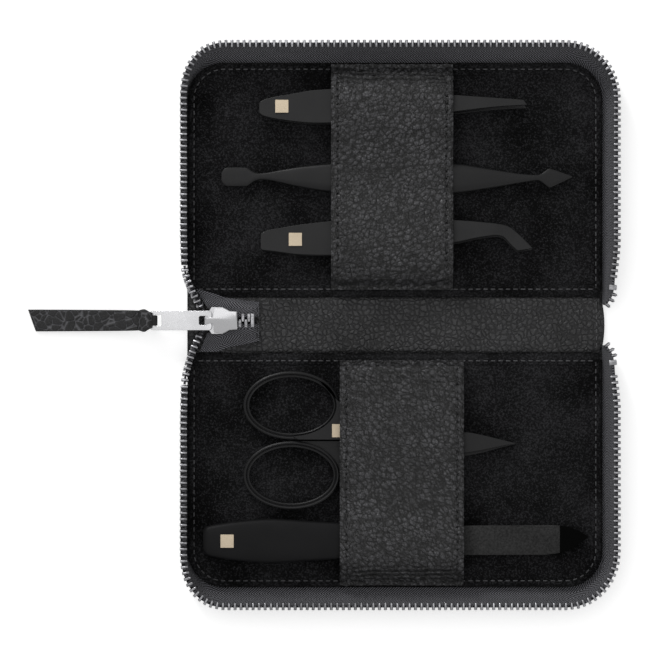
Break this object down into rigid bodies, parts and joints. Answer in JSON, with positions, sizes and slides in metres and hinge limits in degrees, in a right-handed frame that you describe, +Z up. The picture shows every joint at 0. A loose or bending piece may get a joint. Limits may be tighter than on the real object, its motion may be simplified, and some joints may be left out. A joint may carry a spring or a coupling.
{
  "type": "manicure set case",
  "caption": "Zip-around leather manicure case, open like a book, with tweezers, cuticle pusher, scissors and file held under a leather band in each half.",
  "frame": {"origin": "middle of the underside of the spine, with the case lying open", "axes": "+X along the spine towards its free end, +Y towards the half with the tweezers, +Z up out of the open case"},
  "size_m": [0.1979, 0.1896, 0.0119],
  "materials": {
    "cover_leather": "pebbled black cowhide",
    "board": "grey board, hidden",
    "suede": "black microfibre suede",
    "band_leather": "pebbled black cowhide, semi-gloss",
    "zip_tape": "woven herringbone tape",
    "zip_metal": "nickel-plated teeth",
    "slider_metal": "satin nickel",
    "strap_leather": "pebbled black cowhide, stitched",
    "black_steel": "matt black coating on steel",
    "inlay": "plain champagne-coloured inlay",
    "handle_plastic": "moulded black plastic",
    "file_grit": "sanded grit coating on steel",
    "point_gloss": "polished black"
  },
  "bodies": {
    "lower": {"cover_lower": "cover_leather", "board_lower": "board", "lining_lower": "suede", "band_lower": "band_leather", "zip_tape_lower": "zip_tape", "zip_teeth_lower": "zip_metal", "zip_top_stop_lower": "zip_metal"},
    "spine": {"cover_spine": "cover_leather", "spine_facing": "cover_leather", "zip_tape_end": "zip_tape", "zip_teeth_joined": "zip_metal", "zip_bottom_stop": "zip_metal", "zip_link_tape_lower": "zip_tape", "zip_link_teeth_lower": "zip_metal"},
    "upper": {"cover_upper": "cover_leather", "board_upper": "board", "lining_upper": "suede", "band_upper": "band_leather", "zip_tape_upper": "zip_tape", "zip_teeth_upper": "zip_metal", "zip_top_stop_upper": "zip_metal", "zip_link_tape_upper": "zip_tape", "zip_link_teeth_upper": "zip_metal"},
    "slider": {"slider_body": "slider_metal", "slider_bridge": "slider_metal"},
    "pull": {"pull_tab": "slider_metal"},
    "strap": {"pull_strap": "strap_leather"},
    "slant_tweezers": {"slant_tweezers_lower_arm": "black_steel"},
    "slant_tweezers_arm": {"slant_tweezers_upper_arm": "black_steel", "slant_tweezers_inlay": "inlay"},
    "angled_tweezers": {"angled_tweezers_lower_arm": "black_steel"},
    "angled_tweezers_arm": {"angled_tweezers_upper_arm": "black_steel", "angled_tweezers_inlay": "inlay"},
    "pusher": {"cuticle_pusher": "black_steel"},
    "scissors": {"scissors_lower_half": "black_steel", "scissors_screw": "black_steel"},
    "scissors_upper": {"scissors_upper_half": "black_steel", "scissors_inlay": "inlay"},
    "file": {"file_handle": "handle_plastic", "file_blade": "file_grit", "file_point": "point_gloss", "file_inlay": "inlay"}
  },
  "joints": [
    {"name": "spine_fold", "type": "hinge", "parent": "lower", "child": "spine", "pos_m": [0, -0.01, 0.0012], "axis": [1, 0, 0], "range_deg": [0, 90], "deforming": ["zip_link_tape_lower", "zip_link_teeth_lower"]},
    {"name": "upper_fold", "type": "hinge", "parent": "spine", "child": "upper", "pos_m": [0, 0.01, 0.0012], "axis": [1, 0, 0], "range_deg": [0, 90], "deforming": ["zip_link_tape_upper", "zip_link_teeth_upper"]},
    {"name": "slider_slide", "type": "slide", "parent": "spine", "child": "slider", "axis": [1, 0, 0], "range_m": [0, 0.0042]},
    {"name": "pull_swing", "type": "hinge", "parent": "slider", "child": "pull", "pos_m": [-0.0616, 0.0015, 0.008], "axis": [0, -1, 0], "range_deg": [-105, 0]},
    {"name": "strap_swing", "type": "hinge", "parent": "pull", "child": "strap", "pos_m": [-0.08091, 0.0015, 0.00529], "axis": [0, -1, 0], "range_deg": [-60, 25]},
    {"name": "slant_tweezers_slide", "type": "slide", "parent": "upper", "child": "slant_tweezers", "axis": [1, 0, 0], "range_m": [-0.012, 0.02]},
    {"name": "slant_tweezers_squeeze", "type": "hinge", "parent": "slant_tweezers", "child": "slant_tweezers_arm", "pos_m": [-0.0452, 0.07244, 0.00562], "axis": [0, 0.9816, -0.1908], "range_deg": [0, 2.4], "stiffness_Nm_per_rad": 2.5},
    {"name": "angled_tweezers_slide", "type": "slide", "parent": "upper", "child": "angled_tweezers", "axis": [1, 0, 0], "range_m": [-0.008, 0.018]},
    {"name": "angled_tweezers_squeeze", "type": "hinge", "parent": "angled_tweezers", "child": "angled_tweezers_arm", "pos_m": [-0.0447, 0.02785, 0.00539], "axis": [0, 0.9925, -0.1219], "range_deg": [0, 2], "stiffness_Nm_per_rad": 2.5},
    {"name": "pusher_slide", "type": "slide", "parent": "upper", "child": "pusher", "axis": [1, 0, 0], "range_m": [-0.008, 0.008]},
    {"name": "scissors_slide", "type": "slide", "parent": "lower", "child": "scissors", "axis": [1, 0, 0], "range_m": [-0.015, 0]},
    {"name": "scissors_open", "type": "hinge", "parent": "scissors", "child": "scissors_upper", "pos_m": [0.0017, -0.0384, 0.0055], "axis": [0, 0, 1], "range_deg": [-12, 0]},
    {"name": "file_slide", "type": "slide", "parent": "lower", "child": "file", "axis": [1, 0, 0], "range_m": [-0.0035, 0.003]}
  ],
  "couplings": [
    {"joint": "upper_fold", "follows": "spine_fold", "ratio": 1}
  ]
}
